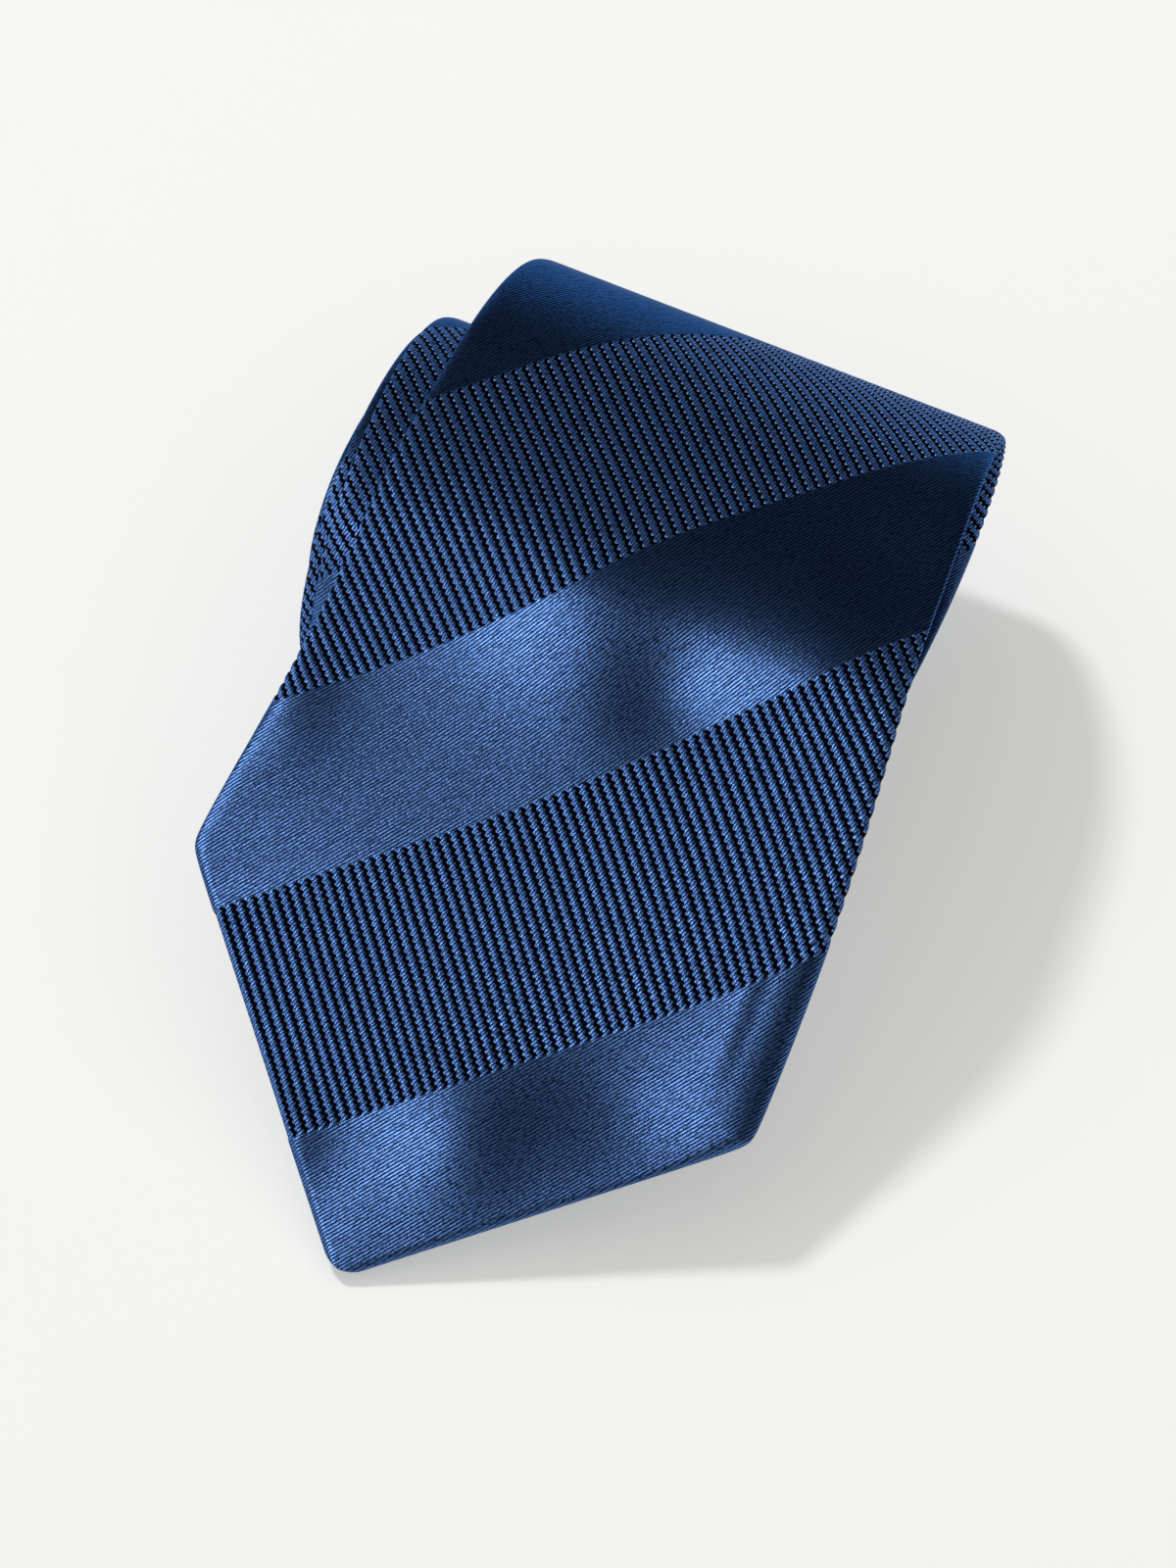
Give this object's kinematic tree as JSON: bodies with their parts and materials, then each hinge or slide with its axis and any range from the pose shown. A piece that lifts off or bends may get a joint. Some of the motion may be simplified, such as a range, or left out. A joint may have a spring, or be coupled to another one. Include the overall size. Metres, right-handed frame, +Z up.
{
  "type": "necktie",
  "caption": "Navy silk necktie with ribbed and satin diagonal stripes, rolled from the narrow end with its pointed blade laid forward over the roll.",
  "frame": {"origin": "middle of the bounding box in X and Y, on the surface that the roll and the blade's tip rest on", "axes": "+Z up; +Y from the blade's tip back to the roll, level; +X to the right across the blade, along the roll, as seen from the tip"},
  "size_m": [0.0846, 0.1284, 0.054],
  "materials": {
    "silk": "woven silk, satin ground with raised rib stripes, soft sheen",
    "keeper_silk": "woven silk strip, satin",
    "tipping_lining": "thin plain-woven lining, low sheen",
    "wool": "brushed undyed wool, matte",
    "silk_thread": "twisted silk thread, soft sheen",
    "label_ribbon": "woven satin ribbon, blank"
  },
  "bodies": {
    "roll": {"blade_shell_rolled": "silk", "neck_shell": "silk", "tail_shell": "silk", "blade_interlining_rolled": "wool", "tail_interlining": "wool", "tail_tipping": "tipping_lining", "keeper_loop": "keeper_silk", "keeper_stitch_left": "silk_thread", "keeper_stitch_right": "silk_thread", "maker_label_blank": "label_ribbon", "care_label_blank": "label_ribbon", "slip_stitch_rolled": "silk_thread", "tail_bar_tack": "silk_thread", "blade_to_neck_seam": "silk_thread", "neck_to_tail_seam": "silk_thread", "interlining_join_stitch": "silk_thread"},
    "free_end": {"blade_shell_free_end": "silk", "blade_interlining_free_end": "wool", "blade_tipping": "tipping_lining", "slip_stitch_free_end": "silk_thread", "slack_thread_loop": "silk_thread", "blade_bar_tack": "silk_thread"}
  },
  "joints": [
    {"name": "free_end_lift", "type": "hinge", "parent": "roll", "child": "free_end", "pos_m": [0.00457, 0.01163, 0.04981], "axis": [-1, 0, 0], "range_deg": [0, 70]}
  ]
}
